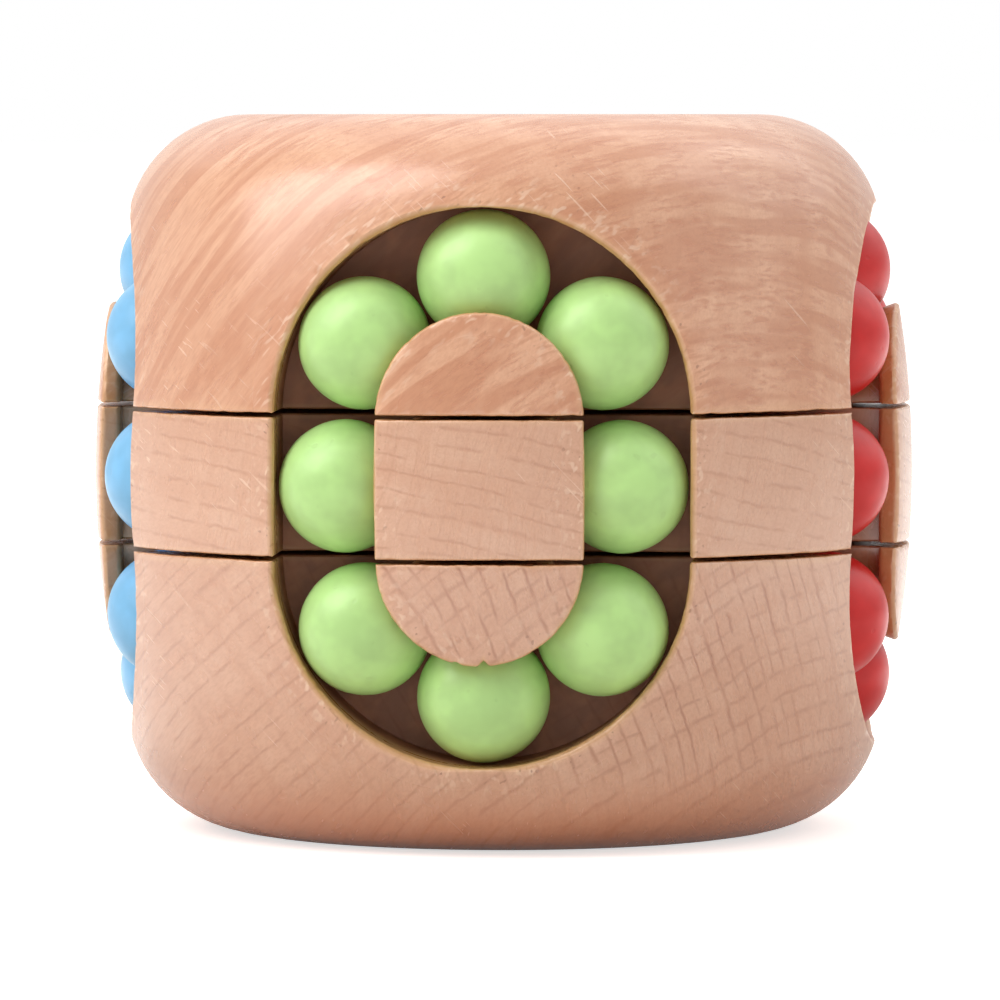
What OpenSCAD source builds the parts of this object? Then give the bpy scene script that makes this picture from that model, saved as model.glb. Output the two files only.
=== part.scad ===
// Bead barrel puzzle: a beech barrel in three layers that turn on a hidden spindle,
// with a stadium track of eight beads on each of its four faces.
// Millimetres, +Z up, origin at the middle of the bottom face, green track towards -Y.

/* [Barrel] */
// Widest diameter of the barrel, at half its height
barrel_d = 70; // [67:0.5:80]
// Height of the barrel
barrel_h = 61; // [60:0.5:72]
// Radius of the bulge along the barrel's side
bulge_r = 88; // [80:1:160]
// Radius of the rounding round the top and the bottom
edge_r = 10.5; // [4:0.5:12]

/* [Layers] */
// Running gap between two layers
layer_gap = 0.35; // [0.2:0.05:0.6]
// Wood between an end layer's cut face and the seat of its springs
web_t = 9; // [7:0.5:10]

/* [Tracks] */
// Diameter of a bead
bead_d = 11; // [10:0.1:11.5]
// Room between a bead and the walls of its track
bead_play = 0.15; // [0.1:0.05:0.4]
// Gap between two neighbouring beads on a bend
bead_gap = 0.2; // [0.1:0.05:0.5]
// How far a bead at rest stays inside the cut face of its layer
bead_inset = 0.2; // [0.1:0.05:0.5]
// Half the width of an island's cap, at its face
cap_half = 8.7; // [8.2:0.1:9.2]
// Thickness of an island's cap at its rim
cap_t = 1.7; // [1:0.1:2.4]
// Angle at which the rim of a cap leans in below its face
cap_lean = 20; // [5:1:25]

/* [Spindle] */
// Diameter of the spindle
spindle_d = 5; // [4:0.5:6]
// Length of thread that stands out of each nut
thread_end = 0.5; // [0.2:0.1:1]
// Wall of a bush
bush_wall = 2; // [1.5:0.25:3]
// Running clearance of a bush round the spindle
bush_clear = 0.05; // [0.03:0.01:0.09]
// Diameter of a bush's flange
flange_d = 18; // [14:0.5:24]
// Depth to which a flange is let into its layer
flange_sink = 1; // [0.6:0.1:2]

/* [Springs and nuts] */
// Diameter of the washers
washer_d = 13; // [12:0.5:15]
// Thickness of the washers
washer_t = 1; // [0.6:0.1:1.2]
// Clearance of washers and springs round the spindle
washer_clear = 0.15; // [0.1:0.05:0.3]
// Outer diameter of a cup spring
spring_d = 12; // [10:0.5:13]
// Thickness of a cup spring's sheet
spring_t = 0.6; // [0.4:0.1:0.8]
// Height of a cup spring's cone
spring_rise = 0.5; // [0.3:0.1:0.7]
// Width of a nut across its flats
nut_flats = 8; // [7:0.5:10]
// Height of a nut
nut_h = 5; // [4:0.5:5.5]

/* [Plugs] */
// Diameter of the wells that hold the springs, and of the plugs that close them
well_d = 17; // [15:0.5:20]
// Thickness of a plug
plug_t = 4; // [3:0.5:4.5]

/* [Hidden] */
$fn = 96;

// One bead track faces each way, named by the colour of its beads, with its turn about Z
TRACKS = [["green", 0], ["red", 90], ["yellow", 180], ["blue", 270]];
BEADS = 8;

// Barrel outline, measured from the axis and from half height
barrel_r = barrel_d / 2;
mid_z = barrel_h / 2;
bulge_x = barrel_r - bulge_r;
edge_z = mid_z - edge_r;
edge_x = bulge_x + sqrt(pow(bulge_r - edge_r, 2) - pow(edge_z, 2));
blend_z = edge_z * bulge_r / (bulge_r - edge_r);

// The middle layer is one bead high; the cuts lie halfway through the gaps
middle_h = bead_d + 2 * bead_inset;
end_z = middle_h / 2 + layer_gap;
bend_z = (middle_h + layer_gap) / 2;

// Bend of the bead path: three beads stand on it with the outer two inside their layer
bead_pitch = bead_d + bead_gap;
bend_drop = end_z + bead_inset + bead_d / 2 - bend_z;
bend_r = (bend_drop + sqrt(pow(bend_drop, 2) + 2 * pow(bead_pitch, 2))) / 2;
bead_step = 2 * asin(bead_pitch / (2 * bend_r));

// Track section, outwards from the axis and sideways from the middle of an island
bead_room = bead_d / 2 + bead_play;
neck_half = bend_r - bead_room;
track_half = bend_r + bead_room;
cap_under = sqrt(pow(barrel_r, 2) - pow(cap_half, 2)) - cap_t;
cap_under_half = cap_half - cap_t * tan(cap_lean);
bead_reach = cap_under - sqrt(pow(bead_room, 2) - pow(bend_r - cap_under_half, 2));
track_floor = bead_reach - bead_room;
past = 1;
cut_reach = barrel_r + past;
cap_cut_half = cap_under_half + (cut_reach - cap_under) * tan(cap_lean);

// Stack on the spindle, upwards from half height
bush_r = spindle_d / 2 + bush_clear + bush_wall;
spring_h = spring_rise + spring_t;
seat_z = end_z + web_t;
inner_spring_z = seat_z + washer_t;
outer_spring_z = inner_spring_z + spring_h;
outer_washer_z = outer_spring_z + spring_h;
nut_z = outer_washer_z + washer_t;
spindle_half = nut_z + nut_h + thread_end;
plug_z = mid_z - plug_t;

// Finishes
beech = [0.87, 0.68, 0.52];
steel = [0.72, 0.73, 0.75];
spring_steel = [0.45, 0.46, 0.5];
nylon = [0.93, 0.92, 0.88];
paints = [[0.66, 0.88, 0.45], [0.85, 0.2, 0.2], [0.97, 0.8, 0.25], [0.45, 0.76, 0.95]];

bead_names = [for (track = TRACKS, i = [1 : BEADS]) str(track[0], "_bead_", i)];
layer_names = ["top_layer", "middle_layer", "bottom_layer"];
stack_names = ["bush", "seat_washer", "inner_spring", "outer_spring", "outer_washer", "lock_nut", "plug"];

// Frame of the upper half, with Z counted from half height
module upper() {
    translate([0, 0, mid_z]) children();
}

// The same frame for the lower half, as a mirror image
module lower() {
    translate([0, 0, mid_z]) mirror([0, 0, 1]) children();
}

// Ring about the Z axis, from height z
module ring(outer_r, inner_r, z, h) {
    translate([0, 0, z]) difference() {
        cylinder(r = outer_r, h = h);
        translate([0, 0, -past]) cylinder(r = inner_r, h = h + 2 * past);
    }
}

// Half of the barrel's outline, from half height up: bulge, rounded edge and flat top
module upper_outline() {
    intersection() {
        translate([bulge_x, 0]) circle(r = bulge_r, $fn = 360);
        square([barrel_r + past, blend_z]);
    }
    intersection() {
        translate([edge_x, edge_z]) circle(r = edge_r);
        translate([edge_x, blend_z]) square([edge_r + past, edge_r + past]);
    }
    translate([0, blend_z]) square([edge_x, mid_z - blend_z]);
}

// Part of the upper half of the barrel above height z
module barrel_above(z) {
    intersection() {
        rotate_extrude() upper_outline();
        translate([0, 0, z]) cylinder(r = barrel_r + past, h = mid_z);
    }
}

// Room for three beads round the end of an island, on the face towards -Y
module bend_cut() {
    translate([0, 0, bend_z]) rotate([90, 0, 0]) difference() {
        translate([0, 0, track_floor]) cylinder(r = track_half, h = cut_reach - track_floor);
        translate([0, 0, track_floor - past]) cylinder(r = neck_half, h = cap_under - track_floor + 2 * past);
        translate([0, 0, cap_under]) cylinder(
            r1 = cap_under_half,
            r2 = cap_cut_half + past * tan(cap_lean),
            h = cut_reach - cap_under + past
        );
    }
}

// Room for a bead beside the middle of an island, on the face towards -Y
module straight_cut() {
    translate([0, 0, -middle_h / 2 - past]) linear_extrude(middle_h + 2 * past) polygon([
        [neck_half, -track_floor],
        [track_half, -track_floor],
        [track_half, -cut_reach],
        [cap_cut_half, -cut_reach],
        [cap_under_half, -cap_under],
        [neck_half, -cap_under]
    ]);
}

// Top layer seen from half height; the bottom layer is its mirror image
module end_layer() {
    color(beech) difference() {
        barrel_above(end_z);
        for (track = TRACKS) {
            rotate([0, 0, track[1]]) bend_cut();
        }
        cylinder(r = bush_r, h = mid_z);
        translate([0, 0, end_z - past]) cylinder(d = flange_d, h = flange_sink + past);
        translate([0, 0, seat_z]) cylinder(d = well_d, h = mid_z);
    }
}

module top_layer() {
    upper() end_layer();
}

module bottom_layer() {
    lower() end_layer();
}

// The slice of the bulge that the middle layer takes
module middle_outline() {
    intersection() {
        translate([bulge_x, 0]) circle(r = bulge_r, $fn = 360);
        translate([0, -middle_h / 2]) square([barrel_r + past, middle_h]);
    }
}

module middle_layer() {
    color(beech) upper() difference() {
        rotate_extrude() middle_outline();
        for (track = TRACKS, side = [0, 1]) {
            rotate([0, 0, track[1]]) mirror([side, 0, 0]) straight_cut();
        }
        translate([0, 0, -middle_h]) cylinder(d = spindle_d, h = 2 * middle_h);
    }
}

// Steel rod pressed into the middle layer, threaded at both ends
module spindle() {
    color(steel) upper() translate([0, 0, -spindle_half]) cylinder(d = spindle_d, h = 2 * spindle_half);
}

// Flanged bush in an end layer; its flange runs on the middle layer and sets the gap
module bush() {
    color(nylon) difference() {
        union() {
            translate([0, 0, middle_h / 2]) cylinder(d = flange_d, h = layer_gap + flange_sink);
            translate([0, 0, middle_h / 2]) cylinder(r = bush_r, h = seat_z - middle_h / 2);
        }
        cylinder(d = spindle_d + 2 * bush_clear, h = mid_z);
    }
}

// Flat washer at height z
module washer(z) {
    color(steel) ring(washer_d / 2, spindle_d / 2 + washer_clear, z, washer_t);
}

// Cup spring: a cone of sheet, with its rim at the foot of the stack's height z
module cup_spring(z) {
    hole_r = spindle_d / 2 + washer_clear;
    color(spring_steel) translate([0, 0, z]) rotate_extrude() polygon([
        [spring_d / 2, 0],
        [spring_d / 2, spring_t],
        [hole_r, spring_h],
        [hole_r, spring_rise]
    ]);
}

module seat_washer() {
    washer(seat_z);
}

// The inner spring stands on its hole's edge, so that the two springs meet rim to rim
module inner_spring() {
    translate([0, 0, outer_spring_z]) mirror([0, 0, 1]) cup_spring(0);
}

module outer_spring() {
    cup_spring(outer_spring_z);
}

module outer_washer() {
    washer(outer_washer_z);
}

module lock_nut() {
    color(steel) translate([0, 0, nut_z]) difference() {
        cylinder(d = nut_flats / cos(30), h = nut_h, $fn = 6);
        translate([0, 0, -past]) cylinder(d = spindle_d, h = nut_h + 2 * past);
    }
}

// Wooden plug that closes a well, flush with the end of the barrel. It is bored out inside
// where the nut and the spindle's end would come nearer to it than the running gap.
module plug() {
    bore_d = nut_flats / cos(30) + 2 * layer_gap;
    color(beech) difference() {
        translate([0, 0, plug_z]) cylinder(d = well_d, h = plug_t);
        translate([0, 0, nut_z]) cylinder(d = bore_d, h = spindle_half + layer_gap - nut_z);
    }
}

// Piece of one half's stack by its name
module stack_piece(name) {
    if (name == "bush") bush();
    if (name == "seat_washer") seat_washer();
    if (name == "inner_spring") inner_spring();
    if (name == "outer_spring") outer_spring();
    if (name == "outer_washer") outer_washer();
    if (name == "lock_nut") lock_nut();
    if (name == "plug") plug();
}

// Place of bead i on its face, sideways and up from the face's middle. Beads are counted
// clockwise from the top, and the second half round mirrors the first through the middle.
function on_bend(turn) = [bend_r * sin(turn), bend_z + bend_r * cos(turn)];
half_round = [on_bend(0), on_bend(bead_step), [bend_r, 0], -on_bend(-bead_step)];
function bead_place(i) = i <= BEADS / 2 ? half_round[i - 1] : -half_round[i - 1 - BEADS / 2];

module bead(track, i) {
    place = bead_place(i);
    color(paints[track]) rotate([0, 0, TRACKS[track][1]])
        translate([place[0], -bead_reach, mid_z + place[1]]) sphere(d = bead_d);
}

top_layer();
middle_layer();
bottom_layer();
spindle();
for (name = stack_names) {
    upper() stack_piece(name);
    lower() stack_piece(name);
}
for (track = [0 : len(TRACKS) - 1], i = [1 : BEADS]) {
    bead(track, i);
}
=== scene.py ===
# %% [markdown]
# This lesson dresses a wooden bead puzzle: a beech barrel in three layers that turn on a hidden
# spindle, with eight painted beads in a track on each of its four faces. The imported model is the
# fixed frame, so every piece below is made where that model has it and moves as it moves.

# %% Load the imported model
from math import asin, cos, hypot, pi, radians, sin, sqrt, tan

import bmesh
import bpy
from mathutils import Matrix, Vector, kdtree, noise


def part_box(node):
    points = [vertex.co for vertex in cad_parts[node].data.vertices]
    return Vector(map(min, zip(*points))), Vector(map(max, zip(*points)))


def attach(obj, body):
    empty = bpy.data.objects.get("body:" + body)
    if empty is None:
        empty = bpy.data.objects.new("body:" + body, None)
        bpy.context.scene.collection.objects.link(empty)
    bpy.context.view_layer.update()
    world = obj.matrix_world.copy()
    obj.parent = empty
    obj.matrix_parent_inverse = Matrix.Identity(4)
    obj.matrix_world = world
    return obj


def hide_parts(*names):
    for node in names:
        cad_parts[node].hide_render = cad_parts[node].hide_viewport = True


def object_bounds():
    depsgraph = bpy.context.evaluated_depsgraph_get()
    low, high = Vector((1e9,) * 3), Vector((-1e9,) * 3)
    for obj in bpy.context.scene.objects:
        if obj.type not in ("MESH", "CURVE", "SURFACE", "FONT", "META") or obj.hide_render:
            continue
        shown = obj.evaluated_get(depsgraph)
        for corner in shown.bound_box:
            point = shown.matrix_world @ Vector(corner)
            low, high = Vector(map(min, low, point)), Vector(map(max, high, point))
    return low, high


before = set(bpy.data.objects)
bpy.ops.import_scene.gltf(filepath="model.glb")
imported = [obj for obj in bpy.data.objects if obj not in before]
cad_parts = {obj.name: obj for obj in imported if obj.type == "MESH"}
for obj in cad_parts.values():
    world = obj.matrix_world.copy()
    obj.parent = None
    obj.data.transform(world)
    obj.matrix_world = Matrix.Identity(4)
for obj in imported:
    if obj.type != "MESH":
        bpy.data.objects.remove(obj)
cad_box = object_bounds()
MM = 0.001
print("nodes", len(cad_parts), "box", [tuple(round(v / MM, 2) for v in c) for c in cad_box])

# %% [markdown]
# The photograph was taken from far away with a long lens, level with the top of the barrel and a
# little to the right of the green face. A camera can be aimed by eye or built from its own three
# directions. The directions are used here, because azimuth, height and distance then stay plain
# numbers that can be checked against the picture.

# %% Camera
barrel_middle = (cad_box[0] + cad_box[1]) / 2
azimuth, elevation, distance = radians(3.5), radians(3.0), 0.620
aim_left, aim_down = 0.34 * MM, 2.57 * MM
back = Vector((sin(azimuth) * cos(elevation), -cos(azimuth) * cos(elevation), sin(elevation)))
right = Vector((cos(azimuth), sin(azimuth), 0))
up = back.cross(right)


def show(name, data):
    """A new object with this data, put into the scene."""
    thing = bpy.data.objects.new(name, data)
    bpy.context.collection.objects.link(thing)
    return thing


def stand(place, across, upward, behind):
    """The matrix of a camera or lamp at a place, from its own three directions."""
    return Matrix.Translation(place) @ Matrix((across, upward, behind)).transposed().to_4x4()


lens = bpy.data.cameras.new("photo_camera")
lens.lens, lens.sensor_width = 260, 36
lens.clip_start, lens.clip_end = 0.01, 20
camera = show("photo_camera", lens)
aim = barrel_middle - right * aim_left - up * aim_down
camera.matrix_world = stand(aim + back * distance, right, up, back)
bpy.context.scene.camera = camera
print("camera", tuple(round(v, 3) for v in camera.location))

# %% [markdown]
# Wood, paint, steel and nylon are all drawn with nodes. Wiring each node by hand takes several
# lines, so a small class adds one node per call: it sets plain values on the sockets and links
# whatever comes from another node.


# %% Finishes are wired one node per call
def shade(red, green, blue):
    """Colour of a paint chart, 0 to 255, as the linear value that sockets take."""
    chart = [v / 255 for v in (red, green, blue)]
    return tuple(v / 12.92 if v <= 0.04045 else ((v + 0.055) / 1.055) ** 2.4 for v in chart) + (1.0,)


class Finish:
    def __init__(self, name):
        self.material = bpy.data.materials.new(name)
        self.material.use_nodes = True
        self.tree = self.material.node_tree
        self.skin = self.tree.nodes["Principled BSDF"].inputs

    def feed(self, socket, value):
        if isinstance(value, bpy.types.NodeSocket):
            self.tree.links.new(value, socket)
        else:
            socket.default_value = value

    def add(self, kind, *values, **settings):
        made = self.tree.nodes.new("ShaderNode" + kind)
        for key, value in settings.items():
            setattr(made, key, value)
        for socket, value in zip([s for s in made.inputs if s.enabled], values):
            if value is not None:
                self.feed(socket, value)
        return made

    def first(self, kind, *values, **settings):
        return [s for s in self.add(kind, *values, **settings).outputs if s.enabled][0]

    def maths(self, operation, a, b=None):
        return self.first("Math", a, b, operation=operation)

    def span(self, value, low, high, to_low=0.0, to_high=1.0):
        """Goes softly from to_low to to_high while the value goes from low to high."""
        return self.first("MapRange", value, low, high, to_low, to_high, interpolation_type="SMOOTHSTEP")

    def mix(self, share, a, b):
        return self.first("Mix", share, a, b, data_type="RGBA")

    def stretch(self, place, amounts):
        return self.first("VectorMath", place, amounts, operation="MULTIPLY")

    def length(self, way):
        return self.add("VectorMath", way, operation="LENGTH").outputs["Value"]

    def cloud(self, place, detail=2.0, rough=0.5):
        return self.first("TexNoise", place, 1.0, detail, rough)

    def mark(self, name):
        """A value that the mesh carries for each of its points."""
        return self.add("Attribute", attribute_name=name).outputs["Fac"]

    def relief(self, height, strength, deepest=0.03 * MM):
        """Unevenness too fine to model."""
        bump = self.add("Bump")
        bump.inputs["Strength"].default_value = strength
        bump.inputs["Distance"].default_value = deepest
        self.feed(bump.inputs["Height"], height)
        self.feed(self.skin["Normal"], bump.outputs["Normal"])


print("chart 128 is", round(shade(128, 128, 128)[0], 3), "to a socket")

# %% [markdown]
# The puzzle stands on plain white paper that ends nowhere in the picture. A lit sheet would turn
# grey towards the horizon, so this one glows where the camera or a gloss sees it. The glow is
# weaker close to the barrel, so that the soft shadow at its foot stays. In gloss it is also weaker
# around a point just right of the barrel: a painted shadow that shows in the wood's reflections.

# %% Paper
reach = 60.0
foot_ring, foot_glow = (0.032, 0.056), 0.64
painted_shadow_middle, painted_shadow_ring, painted_shadow_glow = (0.02, 0.0, 0.0), (0.045, 0.10), 0.15
paper_mesh = bpy.data.meshes.new("paper")
corners = [(-reach, -reach, 0), (reach, -reach, 0), (reach, reach, 0), (-reach, reach, 0)]
paper_mesh.from_pydata(corners, [], [(0, 1, 2, 3)])
paper = show("paper", paper_mesh)
white = Finish("paper_white")
white.skin["Base Color"].default_value = shade(234, 230, 226)
white.skin["Roughness"].default_value = 0.9
white.skin["Specular IOR Level"].default_value = 0.0
white.skin["Emission Color"].default_value = (1, 1, 1, 1)
sight = white.add("LightPath").outputs
spot = white.add("TexCoord").outputs["Object"]
# Painted shadow: what a gloss sees of the paper is darker around a point just right of the barrel.
from_painted_shadow = white.first("VectorMath", spot, painted_shadow_middle, operation="SUBTRACT")
seen_glow = white.span(white.length(spot), *foot_ring, foot_glow, 1.0)
gloss_glow_with_painted_shadow = white.span(white.length(from_painted_shadow), *painted_shadow_ring, painted_shadow_glow, 1.0)
in_gloss = white.maths("MAXIMUM", sight["Is Glossy Ray"], sight["Is Transmission Ray"])
seen_glow = white.maths("MULTIPLY", sight["Is Camera Ray"], seen_glow)
gloss_glow_with_painted_shadow = white.maths("MULTIPLY", in_gloss, gloss_glow_with_painted_shadow)
white.feed(white.skin["Emission Strength"], white.maths("MAXIMUM", seen_glow, gloss_glow_with_painted_shadow))
paper_mesh.materials.append(white.material)
print("paper", 2 * reach, "m wide")

# %% [markdown]
# Around the paper is nothing but white. As a light it would be too strong and flatten the wood, so
# it is dimmed for every surface that it lights, and stays full white for the camera and for gloss.

# %% Surround
dim_white, full_white = 0.36, 1.0
surround = bpy.data.worlds.new("surround")
surround.use_nodes = True
bpy.context.scene.world = surround
sky = surround.node_tree
path = sky.nodes.new("ShaderNodeLightPath")
seen = path.outputs["Is Camera Ray"]
for kind in ("Is Glossy Ray", "Is Transmission Ray"):
    either = sky.nodes.new("ShaderNodeMath")
    either.operation = "MAXIMUM"
    sky.links.new(seen, either.inputs[0])
    sky.links.new(path.outputs[kind], either.inputs[1])
    seen = either.outputs["Value"]
level = sky.nodes.new("ShaderNodeMapRange")
sky.links.new(seen, level.inputs["Value"])
level.inputs["To Min"].default_value, level.inputs["To Max"].default_value = dim_white, full_white
sky.nodes["Background"].inputs["Color"].default_value = (1, 1, 1, 1)
sky.links.new(level.outputs["Result"], sky.nodes["Background"].inputs["Strength"])
print("surround", full_white, "to the eye,", dim_white, "as a light")

# %% [markdown]
# The light comes from large soft lamps. The main one hangs over the left shoulder. In the
# photograph its shine runs along the rounded edge another way than the light falls, which one lamp
# can't give, so one lamp here gives only the light and the one beside it only the shine. The
# overhead lamp lights the top, and weak ones fill the other sides.


# %% Lamps
def soft_lamp(name, place, wide, tall, watts, wide_way=(1, 0, 0), lights=True, shines=True):
    """An oval lamp that looks at the barrel, with its width along a chosen way."""
    lamp = bpy.data.lights.new(name, "AREA")
    lamp.shape, lamp.size, lamp.size_y, lamp.energy = "ELLIPSE", wide, tall, watts
    away = (Vector(place) - barrel_middle).normalized()
    across = Vector(wide_way)
    across = (across - away * across.dot(away)).normalized()
    holder = show(name, lamp)
    holder.matrix_world = stand(place, across, away.cross(across), away)
    holder.visible_diffuse, holder.visible_glossy = lights, shines


soft_lamp("over_left", (-0.315, -0.19, 0.44), 0.62, 0.30, 2.2, (0.64, 0.38, 0.67), shines=False)
soft_lamp("left_shine", (-0.365, -0.208, 0.428), 0.64, 0.36, 1.9, (0.66, -0.42, 0.63), lights=False)
soft_lamp("window_left", (-0.62, 0.02, 0.05), 0.70, 0.45, 0.20, (0, 1, 0))
soft_lamp("overhead", (0.12, 0.04, 0.80), 1.10, 1.10, 1.75)
soft_lamp("front_fill", (0.22, -0.70, 0.20), 0.60, 0.60, 0.10)
soft_lamp("right_fill", (0.54, -0.16, 0.34), 0.60, 0.60, 0.40)
soft_lamp("back_right", (0.42, 0.16, 0.42), 0.50, 0.60, 0.6)
soft_lamp("back_fill", (-0.05, 0.48, 0.62), 1.30, 0.70, 1.0)
bpy.context.scene.view_settings.view_transform = "Standard"

# %% [markdown]
# The barrel was turned on a lathe: its side is one long shallow bulge that rolls over a rounding
# into flat ends. All three layers share that outline, so it is written once, as the radius at a
# height and as the place after a length of the outline. Sizes are millimetres from half height.

# %% Outline of the barrel
half_height = (cad_box[1].z - cad_box[0].z) / 2 / MM
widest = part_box("middle_layer")[1].x / MM
bulge_r, edge_r = 88.0, 10.5
bulge_x = widest - bulge_r
edge_z = half_height - edge_r
edge_x = bulge_x + sqrt((bulge_r - edge_r) ** 2 - edge_z ** 2)
blend_turn = asin(edge_z / (bulge_r - edge_r))
blend_z = bulge_r * sin(blend_turn)
cut_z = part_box("top_layer")[0].z / MM - half_height
cut_turn = asin(cut_z / bulge_r)
bulge_run = bulge_r * (blend_turn - cut_turn)
outline_run = bulge_run + edge_r * (pi / 2 - blend_turn)


def barrel_radius(z):
    z = abs(z)
    if z <= blend_z:
        return bulge_x + sqrt(bulge_r ** 2 - z * z)
    return edge_x + sqrt(max(edge_r ** 2 - (z - edge_z) ** 2, 0))


def run_to(z):
    """Length of the outline from the cut up to a height."""
    if z <= blend_z:
        return bulge_r * (asin(z / bulge_r) - cut_turn)
    return bulge_run + edge_r * (asin((z - edge_z) / edge_r) - blend_turn)


def on_barrel(turn, run):
    """Place on the barrel's side: turned from the middle of a face, and a run up from the cut."""
    if run <= bulge_run:
        slope = cut_turn + run / bulge_r
        radius, z = bulge_x + bulge_r * cos(slope), bulge_r * sin(slope)
    else:
        slope = blend_turn + (run - bulge_run) / edge_r
        radius, z = edge_x + edge_r * cos(slope), edge_z + edge_r * sin(slope)
    return (radius * sin(turn), -radius * cos(turn), z)


print("cut at", round(cut_z, 3), "flat end radius", round(edge_x, 2), "outline", round(outline_run, 2))

# %% [markdown]
# Each end layer carries one bend of every track: an arch-shaped groove with an island left standing
# in it, and the island has a wider cap that holds the beads in. Cutting a solid with booleans leaves
# ragged edges that can't be rounded well, so one quarter is laid out here as neat strips that run
# from the barrel's side over the groove's wall, floor and neck to the cap. All strips share the
# same steps round the arch, so they join point to point.

# %% Track sizes and the steps round its arch
bend_z, track_half, neck_half = 5.875, 17.034328, 5.734328
cap_under, cap_under_half, cap_slant = 32.200267, 8.081251, tan(radians(20))
bead_play = 0.15
first_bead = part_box("green_bead_1")
bead_r = (first_bead[1].x - first_bead[0].x) / 2 / MM
track_floor = -first_bead[1].y / MM - bead_play
ROUND_STEPS, FIRST_STEP = 138, 0.02
inner_step = (1 - 2 * FIRST_STEP) / (ROUND_STEPS - 2)
shares = [0.0] + [FIRST_STEP + inner_step * k for k in range(ROUND_STEPS - 1)] + [1.0]
CAP_GUESS, CLOSING_ROUNDS = 1.7, 40


def arch(radius, share):
    """Sideways place and height on an arch of the track, by its share of the way round."""
    start = asin((cut_z - bend_z) / radius)
    turn = start + (pi - 2 * start) * share
    return radius * cos(turn), bend_z + radius * sin(turn)


def depth_of_face(u, z):
    """How far out the barrel's side lies, at a sideways place and a height on one face."""
    return sqrt(barrel_radius(z) ** 2 - u * u)


def rim_half(out):
    """Half width of a cap, which slants outward from its underside."""
    return cap_under_half + (out - cap_under) * cap_slant


def cap_edge(share):
    """Where the slanted rim of a cap meets the barrel's side, closed in on from a guess."""
    out = cap_under + CAP_GUESS
    for _ in range(CLOSING_ROUNDS):
        u, z = arch(rim_half(out), share)
        out = depth_of_face(u, z)
    return u, z, out


print("bead radius", round(bead_r, 3), "track floor", round(track_floor, 3))

# %% [markdown]
# The strips of the groove follow its arch. The strip of the barrel's side has to end on the square
# border of its quarter instead, so its points are led from the arch to that border, with the two
# upper corners at fixed steps.

# %% Strips of one quarter
quarter, CORNER = pi / 4, 38
SIDE_STEPS, WALL_STEPS, FLOOR_STEPS, UNDER_STEPS, RIM_STEPS = 14, 4, 5, 2, 3


def between(a, b, steps):
    return [a + (b - a) * k / steps for k in range(steps + 1)]


def border(k):
    """Turn and run of the quarter's border at a step: up one side, over the top, down the other."""
    share, corner = shares[k], shares[CORNER]
    if k <= CORNER:
        return quarter, outline_run * share / corner
    if k >= ROUND_STEPS - CORNER:
        return -quarter, outline_run * (1 - share) / corner
    return quarter * (1 - 2 * (share - corner) / (1 - 2 * corner)), outline_run


def arches(from_half, to_half, steps, out, share):
    """A row of points from one arch to another, at one depth."""
    places = [arch(half, share) for half in between(from_half, to_half, steps)]
    return [(u, -out, z) for u, z in places]


def end_quarter():
    """Strips of points for the face that looks along -Y, from the barrel's side in to the cap's rim."""
    side, wall, floor, neck, under, rim = [], [], [], [], [], []
    for k, share in enumerate(shares):
        u, z = arch(track_half, share)
        turn, run = asin(u / barrel_radius(z)), run_to(z)
        goal_turn, goal_run = border(k)
        side.append([on_barrel(turn + (goal_turn - turn) * w, run + (goal_run - run) * w)
                     for w in between(0, 1, SIDE_STEPS)])
        wall.append([(u, -out, z) for out in between(depth_of_face(u, z), track_floor, WALL_STEPS)])
        floor.append(arches(track_half, neck_half, FLOOR_STEPS, track_floor, share))
        u, z = arch(neck_half, share)
        neck.append([(u, -out, z) for out in between(track_floor, cap_under, WALL_STEPS)])
        under.append(arches(neck_half, cap_under_half, UNDER_STEPS, cap_under, share))
        outs = between(cap_under, cap_edge(share)[2], RIM_STEPS)
        slant = [arch(rim_half(out), share) for out in outs]
        rim.append([(u, -out, z) for out, (u, z) in zip(outs, slant)])
    return side, wall, floor, neck, under, rim


strips = end_quarter()
print("strips", [(len(s), len(s[0])) for s in strips])

# %% [markdown]
# The cap's face is a half stadium. A fan of thin triangles would shade badly at its rim, so it gets
# a border of even width first and a grid of four-sided faces inside that.

# %% Cap of an island
CAP_CORNER, HEART_UP, DRAW_IN = 35, 3.8, 0.86


def cap_loops():
    """Foot and rim of a cap's border, then the same two drawn in towards the cap's heart."""
    rim = [cap_edge(share)[:2] for share in shares]
    wide = ROUND_STEPS - 2 * CAP_CORNER
    foot = [(rim[0][0] * (1 - 2 * i / wide), cut_z) for i in range(wide + 1)]
    heart = (0.0, cut_z + HEART_UP)
    low, edge = [[tuple(h + (p - h) * DRAW_IN for p, h in zip(point, heart)) for point in line]
                 for line in (foot, rim)]
    return foot, rim, low, edge


def face_point(point):
    return (point[0], -depth_of_face(*point), point[1])


def cap_face():
    """Border and inner grid of an island's cap. The grid's foot lies on the cut, the rest on the rim."""
    foot, rim, low, edge = cap_loops()
    wide, last = len(low) - 1, CAP_CORNER
    grid = []
    for j in range(last + 1):
        v = shares[j] / shares[last]
        row = []
        for i in range(wide + 1):
            w = i / wide
            row.append([
                (1 - v) * low[i][c] + v * edge[last + i][c]
                + (1 - w) * edge[j][c] + w * edge[ROUND_STEPS - j][c]
                - (1 - w) * (1 - v) * edge[0][c] - w * (1 - v) * edge[ROUND_STEPS][c]
                - (1 - w) * v * edge[last][c] - w * v * edge[ROUND_STEPS - last][c]
                for c in (0, 1)])
        grid.append([face_point(point) for point in row])
    foot_border, rim_border = [[[face_point(a), face_point(b)] for a, b in zip(outer, inner)]
                               for outer, inner in ((foot, low), (rim, edge))]
    return foot_border, rim_border, grid


print("cap", [(len(rows), len(rows[0])) for rows in cap_face()])

# %% [markdown]
# The inside of an end layer is turned too: a seat for the bush's flange, the bush's hole, and a
# well for the springs that a plug closes. These hidden faces close the shape, so that it is a
# sound solid when it is exported. The cut face is one flat face per quarter, because a flat face
# without inner lines takes a rounded edge best.

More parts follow.
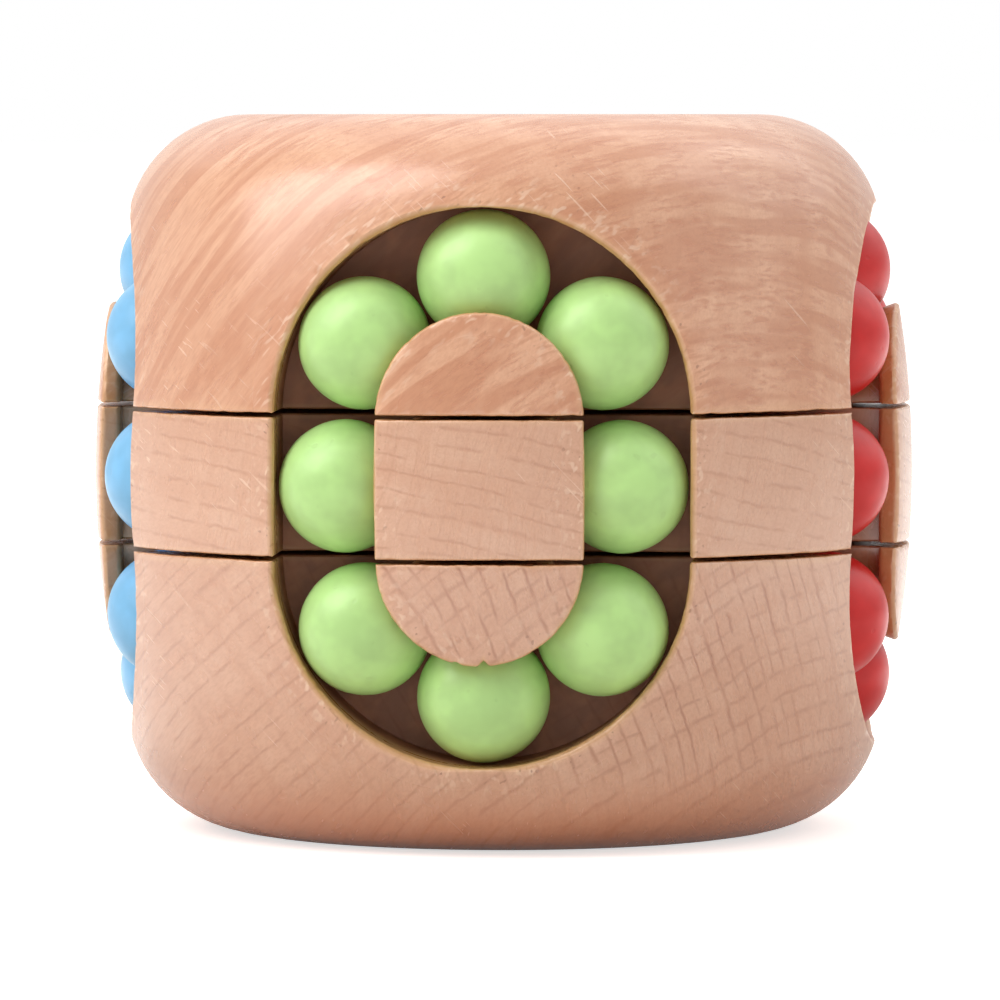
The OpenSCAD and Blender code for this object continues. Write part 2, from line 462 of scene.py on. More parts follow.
# %% Close the quarter, make four and join them
flange_r, flange_depth, bush_r, seat_z, well_r = 9.0, 1.0, 4.55, 15.05, 8.5
END_STEPS, WELD = 6, 0.0005


def lay_grid(shape, rows):
    points = [[shape.verts.new(p) for p in row] for row in rows]
    for low, high in zip(points, points[1:]):
        for a, b, c, d in zip(low, low[1:], high[1:], high):
            shape.faces.new((a, b, c, d))


def four_quarters(shape):
    one = shape.verts[:] + shape.edges[:] + shape.faces[:]
    for turns in (1, 2, 3):
        copy = bmesh.ops.duplicate(shape, geom=one)["geom"]
        bmesh.ops.rotate(shape, cent=(0, 0, 0), matrix=Matrix.Rotation(turns * pi / 2, 3, "Z"),
                         verts=[g for g in copy if isinstance(g, bmesh.types.BMVert)])
    bmesh.ops.remove_doubles(shape, verts=shape.verts, dist=WELD)
    bmesh.ops.recalc_face_normals(shape, faces=shape.faces)


def ring_of(radius, z, turns):
    return [(radius * sin(t), -radius * cos(t), z) for t in turns]


def mirrored(points):
    return [(-x, y, z) for x, y, z in points[::-1]]


def end_layer():
    shape = bmesh.new()
    foot_border, rim_border, cap_grid = cap_face()
    for rows in (*strips, foot_border, rim_border, cap_grid):
        lay_grid(shape, rows)
    side, *groove = strips
    top = [row[-1] for row in side[CORNER:ROUND_STEPS - CORNER + 1]]
    turns = [asin(max(-1, min(1, x / hypot(x, y)))) for x, y, z in top]
    lay_grid(shape, [top] + [ring_of(r, half_height, turns) for r in between(edge_x, well_r, END_STEPS)[1:]])
    bores = [(well_r, half_height), (well_r, seat_z), (bush_r, seat_z), (bush_r, cut_z + flange_depth),
             (flange_r, cut_z + flange_depth), (flange_r, cut_z)]
    lay_grid(shape, [ring_of(r, z, turns) for r, z in bores])
    half = side[0][::-1]
    for rows in groove:
        half = half + rows[0][1:]
    foot = [row[0] for row in foot_border[1:-1]]
    outline = half + foot + mirrored(half) + ring_of(flange_r, cut_z, turns[::-1])
    shape.faces.new([shape.verts.new(p) for p in outline])
    four_quarters(shape)
    return shape


def try_out(name, shape):
    """Print whether a shape is closed and how much wood it has, and let it go."""
    loose = sum(not edge.is_manifold for edge in shape.edges)
    print(name, len(shape.faces), "faces", loose, "open edges", round(shape.calc_volume() / 1000, 2), "cm3")
    shape.free()


try_out("end layer", end_layer())

# %% [markdown]
# The middle layer is one bead high and its grooves run straight up, so the same strips are plain
# rows here. It is made on its own, from its own cut faces inward.

# %% One quarter of the middle layer
middle_low, middle_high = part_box("middle_layer")
middle_half = (middle_high.z - middle_low.z) / 2 / MM
spindle_r = 2.5
levels = [middle_half * share for share in (-1, -0.85, -0.5, -0.17, 0.17, 0.5, 0.85, 1)]
CAP_STEPS, BORE_STEPS = 24, 12


def straight_cap(z):
    """Half width of the cap where its straight rim meets the barrel's side at a height."""
    u = cap_under_half
    for _ in range(CLOSING_ROUNDS):
        u = rim_half(depth_of_face(u, z))
    return u


def middle_rows(z, hand):
    """The strips of one side of a face at height z, from the quarter's edge in to the cap."""
    radius = barrel_radius(z)
    start = asin(track_half / radius)
    rim_out = depth_of_face(straight_cap(z), z)
    rows = [[(radius * sin(t), -radius * cos(t)) for t in between(quarter, start, SIDE_STEPS)],
            [(track_half, -out) for out in between(depth_of_face(track_half, z), track_floor, WALL_STEPS)],
            [(u, -track_floor) for u in between(track_half, neck_half, FLOOR_STEPS)],
            [(neck_half, -out) for out in between(track_floor, cap_under, WALL_STEPS)],
            [(u, -cap_under) for u in between(neck_half, cap_under_half, UNDER_STEPS)],
            [(rim_half(out), -out) for out in between(cap_under, rim_out, RIM_STEPS)]]
    return [[(hand * x, y, z) for x, y in row] for row in rows]


def middle_layer():
    shape = bmesh.new()
    for hand in (1, -1):
        for strip in zip(*(middle_rows(z, hand) for z in levels)):
            lay_grid(shape, strip)
    caps = []
    for z in levels:
        cap_u = straight_cap(z)
        caps.append([(u, -depth_of_face(u, z), z) for u in between(cap_u, -cap_u, CAP_STEPS)])
    lay_grid(shape, caps)
    turns = between(-quarter, quarter, BORE_STEPS)
    lay_grid(shape, [ring_of(spindle_r, z, turns) for z in levels])
    for z, cap in ((levels[0], caps[0]), (levels[-1], caps[-1])):
        half = []
        for row in middle_rows(z, 1):
            half = half + row[1 if half else 0:]
        outline = half + cap[1:-1] + mirrored(half) + ring_of(spindle_r, z, turns)
        shape.faces.new([shape.verts.new(p) for p in outline])
    four_quarters(shape)
    return shape


try_out("middle layer", middle_layer())

# %% [markdown]
# Every edge of the real wood is broken by hand sanding: a track's rim most, a cap's rim half as
# much, and the saw cuts least. Rounding each kind by itself would take several passes. A bevel
# modifier takes its width from a weight on each edge, so all come out of one pass, and its new
# faces can be told by their slot.

# %% Round the edges
ROUND_OVER, ROUND_STRIPS, CHAMFER_LIKE, BEVEL_SLOT = 0.62, 3, 0.36, 1
TRACK_SHARE, CAP_SHARE, CUT_SHARE = 1.0, 0.5, 0.27
SHARP, LEVEL, CAP_REACH = radians(28), 0.99, 12
END_MARGIN, FLANGE_MARGIN = 0.1, 0.5


def edge_weight(edge):
    """A track's rim counts full, a cap's rim, a saw cut or a well's mouth less, a hidden edge nothing."""
    if not (edge.is_manifold and edge.is_convex and edge.calc_face_angle() > SHARP):
        return 0.0
    x, y, z = (abs(v) for v in edge.verts[0].co)
    if z < half_height - END_MARGIN and hypot(x, y) < flange_r + FLANGE_MARGIN:
        return 0.0
    if any(abs(face.normal.z) > LEVEL for face in edge.link_faces):
        return CUT_SHARE
    on_cap = hypot(min(x, y), max(0.0, z - bend_z)) < CAP_REACH
    return CAP_SHARE if on_cap else TRACK_SHARE


def round_over(shape):
    """The shape with its edges rounded, and the set of points that the rounding made."""
    shape.normal_update()
    weights = [edge_weight(e) for e in shape.edges]
    rough = bpy.data.meshes.new("rough")
    shape.to_mesh(rough)
    shape.free()
    rough.attributes.new("bevel_weight_edge", "FLOAT", "EDGE").data.foreach_set("value", weights)
    for _ in range(BEVEL_SLOT + 1):
        rough.materials.append(None)
    holder = show("rough", rough)
    bevel = holder.modifiers.new("sanding", "BEVEL")
    bevel.limit_method, bevel.width, bevel.segments = "WEIGHT", ROUND_OVER, ROUND_STRIPS
    bevel.profile, bevel.material = CHAMFER_LIKE, BEVEL_SLOT
    smooth = bmesh.new()
    smooth.from_object(holder, bpy.context.evaluated_depsgraph_get())
    bpy.data.objects.remove(holder)
    bpy.data.meshes.remove(rough)
    worn = set()
    for face in smooth.faces:
        if face.material_index == BEVEL_SLOT:
            worn.update(face.verts)
        face.material_index = 0
    smooth.normal_update()
    return smooth, worn


sanded, sanded_points = round_over(middle_layer())
print("points made by the rounding", len(sanded_points), "of", len(sanded.verts))
sanded.free()

# %% [markdown]
# Sanded edges are never quite straight, so the rounded ones are pushed in a little, in long sways
# and short nicks, and their highlights waver. The lower green island has two small chips in the
# photograph, and they are pushed in too. Both could be drawn as bump, but then they would not show
# at the outline.

# %% Wear and chips
SWAY_SCALE, NICK_SCALE, WEAR = 0.31, 1.9, 0.09
SWAY_SEED, NICK_SEED = 40, 70
cap_half, CAP_MARGIN = 8.66, 0.2
island_tip = -(bend_z + cap_half)
green_chips = ((0.37, island_tip, 0.45, 0.55), (-1.9, island_tip + 0.15, 0.5, 0.26))


def wear_edges(worn, seed):
    """Push rounded edges in, and say how far at most."""
    deepest = 0.0
    for vert in worn:
        sway = noise.noise(vert.co * SWAY_SCALE + Vector((0, 0, SWAY_SEED * seed)))
        nick = noise.noise(vert.co * NICK_SCALE + Vector((0, 0, NICK_SEED * seed)))
        push = WEAR * max(0.0, sway) + WEAR * max(0.0, nick)
        vert.co -= vert.normal * push
        deepest = max(deepest, push)
    return deepest


def chip_island(shape, worn, chips):
    """Push an island's lower tip up at each chip: its sideways place and height, then its size."""
    for u, z, wide, tall in chips:
        for vert in shape.verts:
            gap = hypot((vert.co.x - u) / wide, (vert.co.z - z) / (2 * tall))
            if vert.co.y < -cap_under + CAP_MARGIN and gap < 1:
                vert.co.z += tall * (1 - gap)
                worn.add(vert)


print("chips", len(green_chips), "at", round(island_tip, 2))

# %% [markdown]
# The finish has to know where it is on the wood. That could be painted by hand on each layer, but
# three measures say it all, so they are kept on every point: whether sanding made it, how deep it
# lies under the barrel's outside, and how near it is to a rim.

# %% Marks for the finish, and the three layers
TORN_REACH, OFF_CUT = 3.0, 0.5


def finish_marks(shape, worn):
    """The three measures of every point. A rim is a rounded edge that isn't at a saw cut or an end."""
    flats = (cut_z, middle_half, half_height)
    rim = [v.co.copy() for v in worn if all(abs(abs(v.co.z) - h) > OFF_CUT for h in flats)]
    rim_places = kdtree.KDTree(len(rim))
    for k, place in enumerate(rim):
        rim_places.insert(place, k)
    rim_places.balance()
    marks = {"worn": [], "deep": [], "near_rim": []}
    for vert in shape.verts:
        under_side = barrel_radius(vert.co.z) - hypot(vert.co.x, vert.co.y)
        marks["worn"].append(1.0 if vert in worn else 0.0)
        marks["deep"].append(max(0.0, min(under_side, half_height - abs(vert.co.z))))
        marks["near_rim"].append(max(0.0, 1 - rim_places.find(vert.co)[2] / TORN_REACH))
    return marks


def smooth_skin(shape):
    """Soft shading everywhere but over sharp edges."""
    for face in shape.faces:
        face.smooth = True
    for edge in shape.edges:
        edge.smooth = not (edge.is_manifold and edge.calc_face_angle() > SHARP)


def stand_up(shape):
    """From millimetres about half height to metres above the paper."""
    for vert in shape.verts:
        vert.co = Vector((vert.co.x, vert.co.y, vert.co.z + half_height)) * MM


def into_piece(name, shape):
    mesh = bpy.data.meshes.new(name)
    shape.to_mesh(mesh)
    shape.free()
    return show(name, mesh)


def finish_layer(name, shape, seed, turned_over=False, chips=()):
    shape, worn = round_over(shape)
    deepest = wear_edges(worn, seed)
    if turned_over:
        bmesh.ops.scale(shape, vec=(1, 1, -1), verts=shape.verts)
        bmesh.ops.reverse_faces(shape, faces=shape.faces)
    chip_island(shape, worn, chips)
    shape.normal_update()
    smooth_skin(shape)
    marks = finish_marks(shape, worn)
    stand_up(shape)
    piece = into_piece(name, shape)
    for mark, values in marks.items():
        piece.data.attributes.new(mark, "FLOAT", "POINT").data.foreach_set("value", values)
    print(name, len(piece.data.polygons), "faces, deepest wear", round(deepest, 3), "mm")
    return piece


layers = {
    "top": finish_layer("top_layer_wood", end_layer(), 1),
    "middle": finish_layer("middle_layer_wood", middle_layer(), 0.5),
    "bottom": finish_layer("bottom_layer_wood", end_layer(), -1, True, green_chips),
}
for body, piece in layers.items():
    even = piece.modifiers.new("even_shading", "WEIGHTED_NORMAL")
    even.keep_sharp = True
    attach(piece, body)
    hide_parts(body + "_layer")

# %% [markdown]
# Beech is pale and pinkish, and what a face shows depends on how it cuts the tree. A picture could
# be wrapped round the barrel, but then the grain would not run through the block. A solid pattern
# is used instead: each layer has its own three directions of the tree, across the rays, across the
# rings and along the fibres, and every face cuts the same rays and rings.

# %% The tree in a block of wood
GRAIN_DRIFT = (2.4, 2.4, 2.4)


def along_ways(wood, ways):
    """How far a place lies along three directions, in millimetres."""
    return wood.first("CombineXYZ", *(
        wood.add("VectorMath", wood.place, tuple(way / MM), operation="DOT_PRODUCT").outputs["Value"]
        for way in ways))


def figure(wood, amounts, detail=2.0, rough=0.5):
    """A cloud stretched along the tree: how often it changes across rays, rings and fibres."""
    return wood.cloud(wood.stretch(wood.grain, amounts), detail, rough)


def grow(wood, rays_across, rings_across):
    """Give the wood its tree, with grain that drifts, and the clouds that several marks share."""
    across = Vector(rays_across).normalized()
    through = Vector(rings_across)
    through = (through - across * through.dot(across)).normalized()
    along = across.cross(through)
    here = wood.add("TexCoord").outputs
    wood.place = here["Object"]
    straight = along_ways(wood, (across, through, along))
    drift = wood.add("TexNoise", wood.stretch(straight, (0.06, 0.06, 0.03)), 1.0, 2.0, 0.5)
    wood.grain = wood.first("VectorMath", drift.outputs["Color"], GRAIN_DRIFT, straight,
                            operation="MULTIPLY_ADD")
    facing = wood.add("VectorMath", here["Normal"], tuple(along), operation="DOT_PRODUCT")
    wood.end_grain = wood.maths("ABSOLUTE", facing.outputs["Value"])
    wood.broad = figure(wood, (0.06, 0.10, 0.04), 1.0)
    wood.patchy = figure(wood, (0.34, 0.34, 0.20), 2.0, 0.6)
    wood.fibre = figure(wood, (4.6, 4.6, 0.5), 2.0, 0.6)
    wood.near_rim, wood.deep = wood.mark("near_rim"), wood.mark("deep")


print("grain drifts by up to", GRAIN_DRIFT[0], "mm")

# %% [markdown]
# The ground of the wood is a slow change between two tones: bands from ring to ring, broad drifts,
# and on the top layer slanted ribbons across the rays. One cloud would look like marble, so each
# kind has its own, stretched as it grew.

# %% Bands and ribbons
BAND_SHARE, DRIFT_SHARE, PALE_SHARE = 0.5, 0.4, 0.35


def ground_tone(wood, pale, rosy, ribbon):
    bands = figure(wood, (0.05, 0.42, 0.03))
    ribbons = figure(wood, (0.80, 0.07, 0.05), 1.5)
    tone = wood.mix(wood.span(bands, 0.32, 0.68, 0.0, BAND_SHARE), pale, rosy)
    tone = wood.mix(wood.span(wood.broad, 0.35, 0.68, 0.0, DRIFT_SHARE), tone, rosy)
    tone = wood.mix(wood.span(ribbons, 0.44, 0.57, 0.0, ribbon), tone, rosy)
    return wood.mix(wood.span(wood.patchy, 0.52, 0.72, 0.0, PALE_SHARE), tone, pale)


print("bands", BAND_SHARE, "drifts", DRIFT_SHARE, "pale patches", PALE_SHARE)

# %% [markdown]
# Rays show as short rosy dashes. Where a face looks along the fibres they become fine lines, and
# the rings cross them like a weave. Drawn lines would be too even, so the gaps sway, the lines
# wobble, and they come and go in patches.

# %% Rays and rings
SWAY_SHARE, WOBBLE_SHARE, RAY_WIDTH, RING_WIDTH = 0.8, 0.22, 0.16, 0.15


def ray_dashes(wood):
    long_dash = wood.span(figure(wood, (3.0, 0.48, 0.42), 0.5, 0.4), 0.50, 0.70)
    short_dash = wood.span(figure(wood, (4.2, 0.95, 0.80), 0.5, 0.4), 0.52, 0.72)
    dashes = wood.maths("MAXIMUM", long_dash, short_dash)
    dashes = wood.maths("MULTIPLY", dashes, wood.span(wood.patchy, 0.34, 0.60, 0.3, 1.0))
    return wood.maths("MULTIPLY", dashes, wood.span(wood.end_grain, 0.15, 0.55, 0.55, 1.0))


def hairlines(wood, way, gap, sway, wobble, width):
    """Thin lines at uneven gaps across one direction of the tree."""
    step = wood.maths("ADD", wood.maths("DIVIDE", way, gap), wood.maths("MULTIPLY", sway, SWAY_SHARE))
    step = wood.maths("ADD", step, wood.maths("MULTIPLY", wobble, WOBBLE_SHARE))
    return wood.span(wood.maths("PINGPONG", step, 0.5), 0.0, width, 1.0, 0.0)


def woven_lines(wood, weave, gaps):
    """Rays and rings as lines, each as strong as the weave says and at its own gap."""
    rays_way, rings_way, _ = wood.add("SeparateXYZ", wood.grain).outputs
    ray_sway, ring_sway = figure(wood, (0.42, 0.02, 0.02), 0.0), figure(wood, (0.08, 0.40, 0.02), 0.0)
    ray_share = wood.span(figure(wood, (0.55, 0.40, 0.40), 1.0), 0.28, 0.58)
    ring_share = wood.span(figure(wood, (0.60, 0.35, 0.30), 1.0), 0.32, 0.56)
    wobble = figure(wood, (0.9, 0.9, 0.9), 1.0)
    rays = hairlines(wood, rays_way, gaps[0], ray_sway, wobble, RAY_WIDTH)
    rays = wood.maths("MULTIPLY", wood.maths("MULTIPLY", rays, ray_share),
                      wood.span(wood.end_grain, 0.55, 0.84, 0.2, 1.0))
    rings = hairlines(wood, rings_way, gaps[1], ring_sway, wobble, RING_WIDTH)
    rings = wood.maths("MULTIPLY", rings, ring_share)
    return wood.maths("MAXIMUM", wood.maths("MULTIPLY", rays, weave[0]),
                      wood.maths("MULTIPLY", rings, weave[1]))


print("a ray line fades over", RAY_WIDTH, "of its gap to each side, a ring line over", RING_WIDTH)

# %% [markdown]
# Tools leave their own marks: pale torn fibre and dark open pores along the rims, and a few pale
# sanding scratches that run one way whatever the grain does. They are kept apart from the grain's
# tones, because the gloss and the relief need them too.

# %% Torn fibre, pores and scratches
sanding_ways = Vector((0.62, 0.30, -0.72)), Vector((0.72, 0.10, 0.68)), Vector((-0.30, 0.95, 0.10))


def torn_fibre(wood):
    torn = wood.span(figure(wood, (2.4, 1.3, 0.55), 1.0), 0.55, 0.70)
    share = wood.maths("MULTIPLY", wood.near_rim, wood.span(wood.broad, 0.30, 0.56, 0.08, 0.6))
    return wood.maths("MULTIPLY", torn, share)


def open_pores(wood):
    spots = wood.span(figure(wood, (2.7, 2.7, 0.6), 0.0), 0.72, 0.82)
    share = wood.maths("MULTIPLY", wood.near_rim, wood.span(wood.patchy, 0.40, 0.62, 0.0, 0.8))
    share = wood.maths("MAXIMUM", share, wood.span(wood.broad, 0.58, 0.70, 0.0, 0.4))
    return wood.maths("MULTIPLY", spots, share)


def sanding_scratches(wood):
    lengthwise = wood.stretch(along_ways(wood, sanding_ways), (0.20, 5.0, 0.5))
    scratches = wood.span(wood.cloud(lengthwise, 0.0), 0.73, 0.80)
    return wood.maths("MULTIPLY", scratches, wood.span(wood.broad, 0.50, 0.66, 0.0, 0.45))


print("scratches run along", tuple(round(v, 2) for v in sanding_ways[0]))

# %% [markdown]
# The tracks get painted shade: they grow darker and browner the deeper they lie, and a painted
# golden band of bounce light sits just under each rim. Sanded edges are paler, partly from wear and
# partly as a painted highlight line. The depth under the outside tells these places apart, so no
# second material is needed, and the change is soft as it is on the wood. The varnish is glossy
# outside and dull in the same places.

# %% Painted shade and light in the tracks, and the varnish
# Two tones of painted shade for the tracks.
TRACK_SHADE_DARK, TRACK_SHADE_PALE = shade(156, 90, 56), shade(188, 117, 80)
# A painted golden bounce light under the track rims, and the pale of sanded edges.
GOLD_BOUNCE_LIGHT, WORN_PALE_AND_HIGHLIGHT = shade(192, 132, 70), shade(240, 198, 148)
GOLD_BOUNCE_SHARE, WORN_AND_HIGHLIGHT_SHARE, TRACK_SHADE_SHARE = 0.62, 0.18, 0.82
GLOSSY, MATT, WOOD_RELIEF = 0.25, 0.62, 0.22


def paint_track_shade_and_light(wood, tone, track_shade):
    track_shade_tone = wood.mix(wood.span(wood.patchy, 0.36, 0.64), TRACK_SHADE_DARK, TRACK_SHADE_PALE)
    # Painted shade: darker and browner with depth in the tracks.
    tone = wood.mix(track_shade, tone, track_shade_tone)
    # Painted bounce light: a golden band just under each rim, fading with depth.
    below_rim, fading = wood.span(wood.deep, 0.03, 0.16), wood.span(wood.deep, 2.0, 5.5, GOLD_BOUNCE_SHARE, 0.0)
    tone = wood.mix(wood.maths("MULTIPLY", below_rim, fading), tone, GOLD_BOUNCE_LIGHT)
    # Sanded edges are paler: wear, and a painted highlight line along each rounded edge.
    return wood.mix(wood.span(wood.mark("worn"), 0.5, 1.0, 0.0, WORN_AND_HIGHLIGHT_SHARE), tone, WORN_PALE_AND_HIGHLIGHT)


def varnish(wood, dashes, lines, torn, scratches, track_shade):
    """Glossy outside, dull in tracks, at rims and in scratches, with the grain just to be felt."""
    dull = wood.maths("MAXIMUM", wood.maths("MULTIPLY", dashes, 0.3), track_shade)
    dull = wood.maths("MAXIMUM", wood.maths("MULTIPLY", wood.near_rim, 0.35), dull)
    dull = wood.maths("MAXIMUM", scratches, dull)
    wood.feed(wood.skin["Roughness"], wood.span(dull, 0.0, 1.0, GLOSSY, MATT))
    wood.skin["Specular IOR Level"].default_value = 1.0
    sunk = wood.maths("MAXIMUM", wood.maths("MULTIPLY", lines, 2.0), wood.maths("MULTIPLY", dashes, 0.5))
    sunk = wood.maths("MAXIMUM", scratches, sunk)
    raised = wood.maths("ADD", wood.maths("MULTIPLY", wood.fibre, 0.4), torn)
    wood.relief(wood.maths("SUBTRACT", raised, sunk), WOOD_RELIEF)


print("roughness", GLOSSY, "outside,", MATT, "at most")

# %% [markdown]
# One recipe puts these together for all three layers, which came from different boards. A material
# written out for each would repeat itself, so only what differs is handed in: the top is warm, with
# dashes in slanted ribbons, and the other two show end grain, with rings across the middle and
# crossing rays and rings on the bottom, whose foot gets painted shade, darker and browner.

# %% Beech
TORN_PALE, PORE_DARK, SCRATCH_PALE = shade(244, 212, 184), shade(140, 78, 52), shade(248, 216, 190)
# Painted shade at the foot of the bottom layer.
FOOT_SHADE, FOOT_SHADE_HEIGHT = shade(198, 118, 68), 0.008


def beech(name, tree, tones, dash, ribbon, weave, gaps, foot=0.0):
    pale, rosy, fleck = tones
    wood = Finish(name)
    grow(wood, *tree)
    dashes, lines = ray_dashes(wood), woven_lines(wood, weave, gaps)
    torn, scratches = torn_fibre(wood), sanding_scratches(wood)
    # Painted shade in the tracks, growing with depth under the barrel's outside.
    track_shade = wood.span(wood.deep, 1.5, 6.5, 0.0, TRACK_SHADE_SHARE)
    tone = ground_tone(wood, pale, rosy, ribbon)
    tone = wood.mix(wood.maths("MULTIPLY", dashes, dash), tone, fleck)
    tone = wood.mix(lines, tone, fleck)
    tone = wood.mix(wood.span(wood.fibre, 0.36, 0.70, 0.0, 0.22), tone, fleck)
    tone = wood.mix(torn, tone, TORN_PALE)
    tone = wood.mix(open_pores(wood), tone, PORE_DARK)
    tone = wood.mix(scratches, tone, SCRATCH_PALE)
    # Painted shade: darker and browner towards the foot.
    if foot:
        height = wood.add("SeparateXYZ", wood.place).outputs["Z"]
        tone = wood.mix(wood.span(height, 0.0, FOOT_SHADE_HEIGHT, foot, 0.0), tone, FOOT_SHADE)
    wood.feed(wood.skin["Base Color"], paint_track_shade_and_light(wood, tone, track_shade))
    varnish(wood, dashes, lines, torn, scratches, track_shade)
    print(name, len(wood.tree.nodes), "nodes")
    return wood.material


warm = shade(231, 177, 140), shade(203, 138, 99), shade(184, 114, 77)
pink = shade(223, 176, 146), shade(210, 155, 122), shade(183, 124, 92)
rose = shade(220, 172, 142), shade(206, 150, 117), shade(171, 111, 81)
woods = {
    "top": beech("beech_top", ((-0.479, 0.598, 0.643), (0.66, 0.73, -0.19)), warm,
                 dash=0.50, ribbon=0.85, weave=(0.0, 0.0), gaps=(1.9, 1.6)),
    "middle": beech("beech_middle", ((0.98, 0.12, -0.21), (0.21, 0.05, 0.98)), pink,
                    dash=0.10, ribbon=0.3, weave=(0.20, 0.52), gaps=(0.85, 1.6)),
    "bottom": beech("beech_bottom", ((1.9, 1.2, 1.0), (-0.65, 0.27, 0.98)), rose,
                    dash=0.10, ribbon=0.3, weave=(0.85, 0.48), gaps=(1.35, 1.5), foot=0.68),
}
for body, piece in layers.items():
    piece.data.materials.append(woods[body])

# %% [markdown]
# The beads are small wooden balls dipped in satin paint. A sphere from the menu would be too
# perfect, so each one is a ball of even triangles that is pushed in here and there by a few
# hundredths of a millimetre, differently for every bead.

# %% Beads
paints = {"green": (194, 237, 150), "red": (216, 30, 28), "yellow": (246, 202, 78), "blue": (130, 196, 240)}
BEADS_OF_A_COLOUR, BALL_STEPS, DENT_SCALE, DENT = 8, 5, 1.7, 0.05
PAINT_RELIEF = 0.5


def bead_paint(name, chart):
    paint = Finish(name)
    place = paint.stretch(paint.add("TexCoord").outputs["Object"], (1 / MM, 1 / MM, 1 / MM))
    coat = paint.cloud(paint.stretch(place, (0.35, 0.35, 0.35)))
    pits = paint.span(paint.cloud(paint.stretch(place, (1.1, 1.1, 1.1)), 0.0), 0.78, 0.86)
    thick, thin, pitted = [shade(*(v * share for v in chart)) for share in (1.0, 0.93, 0.7)]
    tone = paint.mix(paint.span(coat, 0.3, 0.7), thick, thin)
    tone = paint.mix(paint.maths("MULTIPLY", pits, 0.1), tone, pitted)
    paint.feed(paint.skin["Base Color"], tone)
    paint.feed(paint.skin["Roughness"], paint.span(coat, 0.2, 0.8, 0.30, 0.42))
    paint.skin["Specular IOR Level"].default_value = 0.4
    paint.relief(paint.maths("SUBTRACT", paint.maths("MULTIPLY", coat, 0.6), pits), PAINT_RELIEF)
    return paint.material


def dented_ball(node):
    """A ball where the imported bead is."""
    low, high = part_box(node)
    centre = (low + high) / 2
    ball = bmesh.new()
    bmesh.ops.create_icosphere(ball, subdivisions=BALL_STEPS, radius=bead_r)
    for vert in ball.verts:
        way = vert.co.normalized()
        dent = noise.noise(way * DENT_SCALE + centre / MM) * 0.5 + 0.5
        vert.co = way * (bead_r - DENT * dent) * MM + centre
    for face in ball.faces:
        face.smooth = True
    return into_piece(node + "_ball", ball)


for colour, chart in paints.items():
    satin = bead_paint(colour + "_satin", chart)
    for number in range(1, BEADS_OF_A_COLOUR + 1):
        node = "%s_bead_%d" % (colour, number)
        piece = dented_ball(node)
        piece.data.materials.append(satin)
        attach(piece, node)
        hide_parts(node)
print("beads", len(paints) * BEADS_OF_A_COLOUR)

# %% [markdown]
# A turned plug closes the well at each end of the barrel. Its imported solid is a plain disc, but a
# real plug has a broken edge that leaves a fine seam, and a face that the tool left a little
# hollow. It is spun here from its half section, and cut from other wood, with its end grain out.

# %% Plugs
plug_low, plug_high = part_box("upper_plug")
plug_r, plug_t = plug_high.x / MM, (plug_high.z - plug_low.z) / MM
seam, dish, inner_edge, SPIN_STEPS = 0.06, 0.10, 0.3, 128
half_section = [(2.0, -0.095), (4.5, -0.07), (6.6, -0.03), (7.6, -0.005), (8.0, -0.02),
                (8.22, -0.08), (8.36, -0.20), (plug_r - seam, -0.42), (plug_r - seam, inner_edge - plug_t),
                (plug_r - inner_edge, -plug_t), (4.0, -plug_t)]
plug_tones = shade(222, 170, 134), shade(206, 150, 114), shade(172, 112, 80)
plug_wood = beech("beech_plug", ((1.0, 0.35, 0.1), (-0.35, 1.0, 0.05)), plug_tones,
                  dash=0.1, ribbon=0.3, weave=(0.5, 0.4), gaps=(0.55, 1.5))


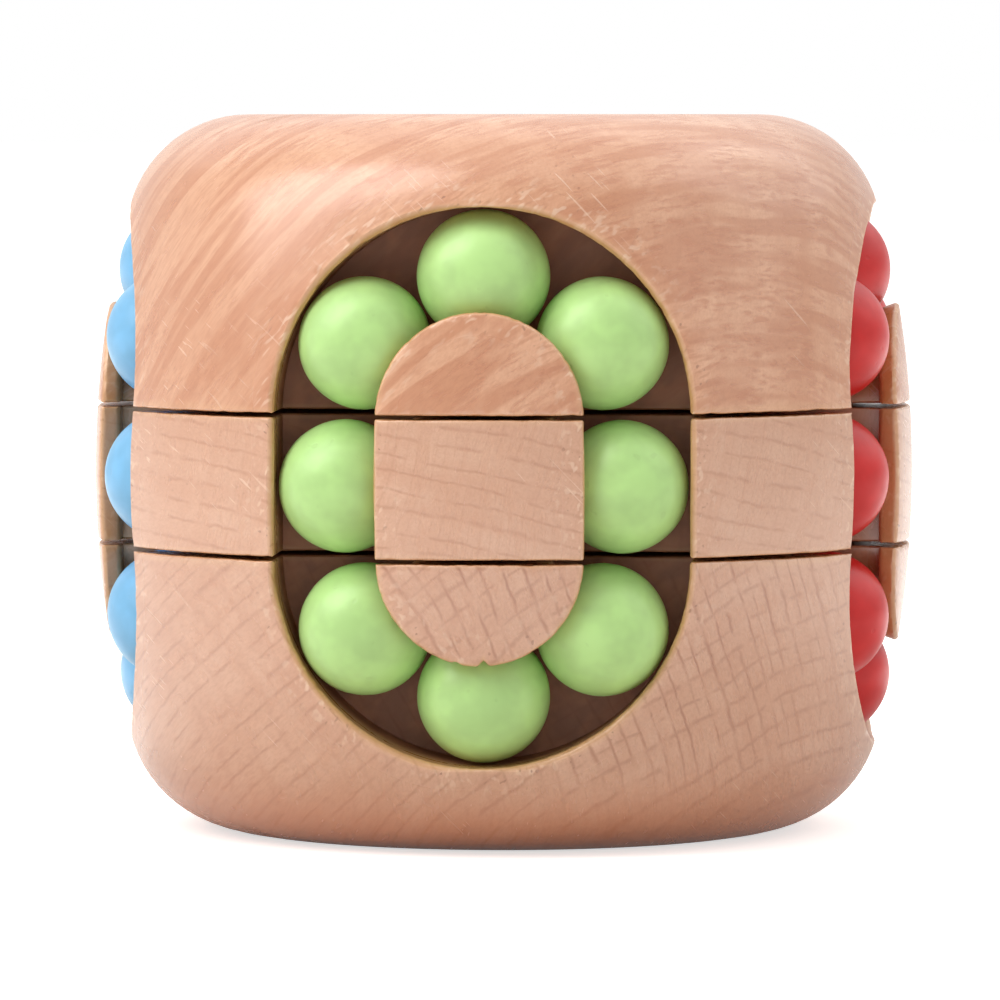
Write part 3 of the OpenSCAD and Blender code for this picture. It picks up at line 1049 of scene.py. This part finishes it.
def turned_plug(name, upward):
    shape = bmesh.new()
    turns = [2 * pi * k / SPIN_STEPS for k in range(SPIN_STEPS)]
    spun = [[shape.verts.new((r * cos(t), r * sin(t), half_height + z)) for t in turns]
            for r, z in half_section]
    for ring, following in zip(spun, spun[1:]):
        for k in range(SPIN_STEPS):
            shape.faces.new((ring[k - 1], ring[k], following[k], following[k - 1]))
    for ring, z in ((spun[0], half_height - dish), (spun[-1], half_height - plug_t)):
        hub = shape.verts.new((0, 0, z))
        for k in range(SPIN_STEPS):
            shape.faces.new((ring[k - 1], ring[k], hub))
    bmesh.ops.scale(shape, vec=(1, 1, upward), verts=shape.verts)
    stand_up(shape)
    bmesh.ops.recalc_face_normals(shape, faces=shape.faces)
    smooth_skin(shape)
    piece = into_piece(name, shape)
    piece.data.materials.append(plug_wood)
    return piece


for place, body, upward in (("upper", "top", 1), ("lower", "bottom", -1)):
    plug = turned_plug(place + "_plug_wood", upward)
    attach(plug, body)
    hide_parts(place + "_plug")
    print(plug.name, len(plug.data.polygons), "faces")

# %% [markdown]
# The spindle, bushes, springs, washers and nuts are hidden inside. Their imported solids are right
# as they are, so they only get a finish each.


# %% Hidden hardware
def metal(name, chart, rough):
    bare = Finish(name)
    place = bare.stretch(bare.add("TexCoord").outputs["Object"], (2500, 2500, 300))
    lines = bare.cloud(place)
    bare.feed(bare.skin["Base Color"], bare.mix(lines, shade(*chart), shade(*(v * 0.85 for v in chart))))
    bare.feed(bare.skin["Roughness"], bare.span(lines, 0.2, 0.8, rough - 0.06, rough + 0.1))
    bare.skin["Metallic"].default_value = 1.0
    return bare.material


def bush_nylon():
    nylon = Finish("bush_nylon")
    place = nylon.stretch(nylon.add("TexCoord").outputs["Object"], (400, 400, 400))
    grainy = nylon.cloud(place, 3.0)
    nylon.feed(nylon.skin["Base Color"], nylon.mix(grainy, shade(240, 238, 228), shade(228, 224, 210)))
    nylon.feed(nylon.skin["Roughness"], nylon.span(grainy, 0.2, 0.8, 0.4, 0.55))
    return nylon.material


steel = metal("turned_steel", (196, 198, 202), 0.32)
spring_sheet = metal("spring_sheet", (132, 134, 140), 0.38)
white_nylon = bush_nylon()
dressed = 0
for name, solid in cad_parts.items():
    if "_bead_" in name or name.endswith(("_layer", "_plug")):
        continue
    coat = white_nylon if "bush" in name else spring_sheet if "spring" in name else steel
    solid.data.materials.clear()
    solid.data.materials.append(coat)
    dressed += 1
print("hardware", dressed)
